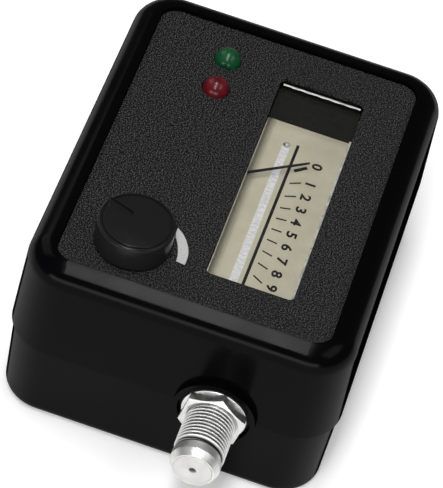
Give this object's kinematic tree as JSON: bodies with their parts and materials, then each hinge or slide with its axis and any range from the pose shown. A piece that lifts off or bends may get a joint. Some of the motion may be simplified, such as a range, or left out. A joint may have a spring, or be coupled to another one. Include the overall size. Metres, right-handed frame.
{
  "type": "satellite signal meter",
  "caption": "Hand-held satellite signal meter: glossy two-shell case, moving-coil needle dial behind a window, level knob, two lamps and a threaded coaxial socket at each end.",
  "frame": {"origin": "centre of the whole part's box on the plane of the underside", "axes": "+X along the case from the far socket to the near one, +Y across towards the meter window's side, +Z out of the face"},
  "size_m": [0.1112, 0.0636, 0.0442],
  "materials": {
    "case_plastic": "high gloss moulded ABS",
    "face_plastic": "fine matte grain",
    "knob_plastic": "satin",
    "clear_plastic": "clear moulded acrylic",
    "dial_paint": "warm beige paint on sheet aluminium",
    "meter_plastic": "moulded black",
    "needle_paint": "matte black",
    "copper_wire": "enamelled winding",
    "bare_aluminium": "satin",
    "brass_parts": "turned and stamped",
    "soft_iron": "turned",
    "magnet_alloy": "ground",
    "nickel_plate": "bright nickel",
    "white_insulator": "moulded",
    "steel_parts": "plated",
    "tinned_steel": "tinned",
    "green_epoxy": "tinted clear epoxy",
    "red_epoxy": "tinted clear epoxy",
    "board_laminate": "solder mask",
    "black_mould": "moulded black",
    "pale_nylon": "moulded natural",
    "brown_laminate": "phenolic board"
  },
  "bodies": {
    "case": {"front_cover": "case_plastic", "rear_cover": "case_plastic", "face_plate": "face_plastic", "meter_window": "clear_plastic", "dial_plate": "dial_paint", "meter_housing": "meter_plastic", "capacitors": "bare_aluminium", "core_clips": "brass_parts", "top_bridge": "brass_parts", "jewel_screws": "brass_parts", "hairspring": "brass_parts", "meter_terminals": "brass_parts", "front_socket_contact": "brass_parts", "rear_socket_contact": "brass_parts", "yoke_ring": "soft_iron", "core_magnet": "magnet_alloy", "front_socket_body": "nickel_plate", "front_socket_nut": "nickel_plate", "front_socket_washer": "nickel_plate", "rear_socket_body": "nickel_plate", "rear_socket_nut": "nickel_plate", "rear_socket_washer": "nickel_plate", "front_socket_insulator": "white_insulator", "rear_socket_insulator": "white_insulator", "bridge_screws": "steel_parts", "meter_screws": "steel_parts", "case_screws": "steel_parts", "board_screws": "steel_parts", "pot_shell": "steel_parts", "pot_bushing": "steel_parts", "pot_pins": "steel_parts", "lamp_leads": "steel_parts", "shield_can": "tinned_steel", "green_lamp": "green_epoxy", "red_lamp": "red_epoxy", "circuit_board": "board_laminate", "chips": "black_mould", "transistors": "black_mould", "buzzer": "black_mould", "resistors": "black_mould", "lamp_spacers": "pale_nylon", "pot_track": "brown_laminate"},
    "knob": {"knob": "knob_plastic", "pot_shaft": "pale_nylon", "pot_wiper": "brass_parts"},
    "movement": {"needle": "needle_paint", "balance_weights": "brass_parts", "pivot_pins": "steel_parts", "coil_former": "bare_aluminium", "coil_winding": "copper_wire"}
  },
  "joints": [
    {"name": "knob_turn", "type": "hinge", "parent": "case", "child": "knob", "pos_m": [0.0268, -0.01375, 0.03], "axis": [0, 0, 1], "range_deg": [-300, 0]},
    {"name": "needle_swing", "type": "hinge", "parent": "case", "child": "movement", "pos_m": [0.0015, -0.012, 0.028], "axis": [0, 0, 1], "range_deg": [-71.6, 2.9], "stiffness_Nm_per_rad": 0.00003, "deforming": ["hairspring"]}
  ]
}
